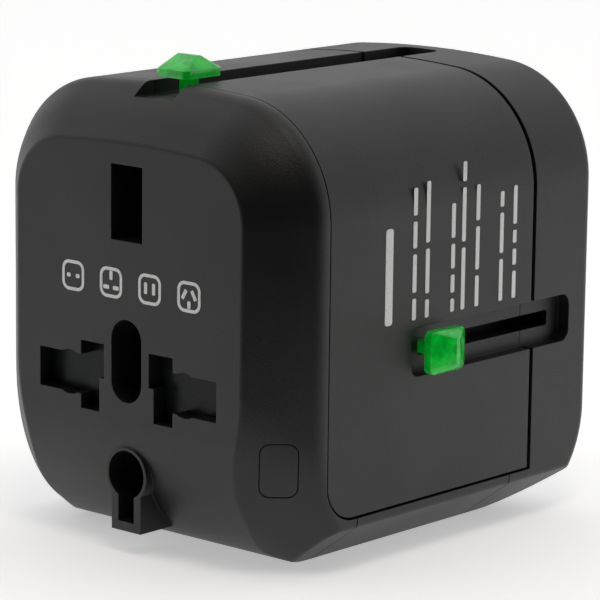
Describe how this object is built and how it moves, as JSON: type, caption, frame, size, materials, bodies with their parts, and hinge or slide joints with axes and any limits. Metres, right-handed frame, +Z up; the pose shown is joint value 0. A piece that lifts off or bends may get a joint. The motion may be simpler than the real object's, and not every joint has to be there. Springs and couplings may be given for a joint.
{
  "type": "universal travel adapter",
  "caption": "Cube-shaped travel plug adapter: multi-standard socket face, three sliders that push out European, British and twisting American or Australian plug pins, sprung shutters.",
  "frame": {"origin": "under the middle of the body, on the flat base", "axes": "+X across the socket face to the right seen from the front, +Y from the socket face to the plug face, +Z up"},
  "size_m": [0.0572, 0.0584, 0.0595],
  "materials": {
    "casing_black": "fine-grained matte charcoal polycarbonate",
    "inner_black": "smooth moulded nylon",
    "sleeve_black": "smooth insulating plastic",
    "button_green": "translucent green plastic",
    "shutter_green_grey": "glossy dark green-grey plastic",
    "contact_brass": "bare stamped brass",
    "plated_metal": "nickel-plated brass",
    "screw_steel": "zinc-plated steel",
    "spring_steel": "drawn spring wire",
    "fuse_glass": "clear glass tube"
  },
  "bodies": {
    "housing": {"front_cover": "casing_black", "upper_shell": "casing_black", "bottom_cover": "casing_black", "rear_shell": "casing_black", "case_screws": "screw_steel", "block_screws": "screw_steel", "socket_block": "inner_black", "shutter_spring_left": "spring_steel", "shutter_spring_right": "spring_steel", "live_contact": "contact_brass", "neutral_contact": "contact_brass", "live_strap": "contact_brass", "live_busbar": "contact_brass", "neutral_busbar": "contact_brass", "fuse_tube": "fuse_glass", "fuse_caps": "plated_metal", "fuse_wire": "contact_brass", "fuse_clip_front": "contact_brass", "fuse_clip_rear": "contact_brass", "guide_frame": "inner_black", "latch_spring": "spring_steel"},
    "eu_plug": {"eu_carriage": "inner_black", "eu_button": "button_green", "eu_pin_left": "plated_metal", "eu_pin_right": "plated_metal", "eu_sleeves": "sleeve_black", "eu_wipers": "contact_brass"},
    "uk_plug": {"uk_carriage": "inner_black", "uk_button": "button_green", "uk_live_pin": "plated_metal", "uk_neutral_pin": "plated_metal", "uk_earth_pin": "sleeve_black", "uk_sleeves": "sleeve_black", "uk_wipers": "contact_brass"},
    "us_plug": {"us_carriage": "inner_black", "us_button": "button_green", "us_wipers": "contact_brass"},
    "us_left_blade": {"us_blade_left": "plated_metal", "us_collar_left": "inner_black"},
    "us_right_blade": {"us_blade_right": "plated_metal", "us_collar_right": "inner_black"},
    "left_shutter": {"shutter_left": "shutter_green_grey"},
    "right_shutter": {"shutter_right": "shutter_green_grey"},
    "release": {"release_button": "casing_black", "release_spring": "spring_steel"},
    "latch": {"latch_bar": "inner_black"}
  },
  "joints": [
    {"name": "eu_slide", "type": "slide", "parent": "housing", "child": "eu_plug", "axis": [0, 1, 0], "range_m": [0, 0.039]},
    {"name": "uk_slide", "type": "slide", "parent": "housing", "child": "uk_plug", "axis": [0, 1, 0], "range_m": [0, 0.023]},
    {"name": "us_slide", "type": "slide", "parent": "housing", "child": "us_plug", "axis": [0, 1, 0], "range_m": [0, 0.023]},
    {"name": "us_left_twist", "type": "hinge", "parent": "us_plug", "child": "us_left_blade", "pos_m": [-0.00635, 0, 0.0112], "axis": [0, 1, 0], "range_deg": [0, 30]},
    {"name": "us_right_twist", "type": "hinge", "parent": "us_plug", "child": "us_right_blade", "pos_m": [0.00635, 0, 0.0112], "axis": [0, -1, 0], "range_deg": [0, 30]},
    {"name": "left_shutter_slide", "type": "slide", "parent": "housing", "child": "left_shutter", "axis": [0, 0, 1], "range_m": [0, 0.0094], "stiffness_N_per_m": 30, "springref_m": -0.004, "deforming": ["shutter_spring_left"]},
    {"name": "right_shutter_slide", "type": "slide", "parent": "housing", "child": "right_shutter", "axis": [0, 0, 1], "range_m": [0, 0.0094], "stiffness_N_per_m": 30, "springref_m": -0.004, "deforming": ["shutter_spring_right"]},
    {"name": "release_press", "type": "slide", "parent": "housing", "child": "release", "axis": [-0.7071, 0.7071, 0], "range_m": [0, 0.001], "stiffness_N_per_m": 900, "springref_m": -0.001},
    {"name": "latch_slide", "type": "slide", "parent": "housing", "child": "latch", "axis": [0, 0, -1], "range_m": [0, 0.001], "stiffness_N_per_m": 200, "springref_m": -0.001, "deforming": ["latch_spring"]}
  ],
  "couplings": [
    {"joint": "right_shutter_slide", "follows": "left_shutter_slide", "ratio": 1},
    {"joint": "latch_slide", "follows": "release_press", "ratio": 1}
  ]
}
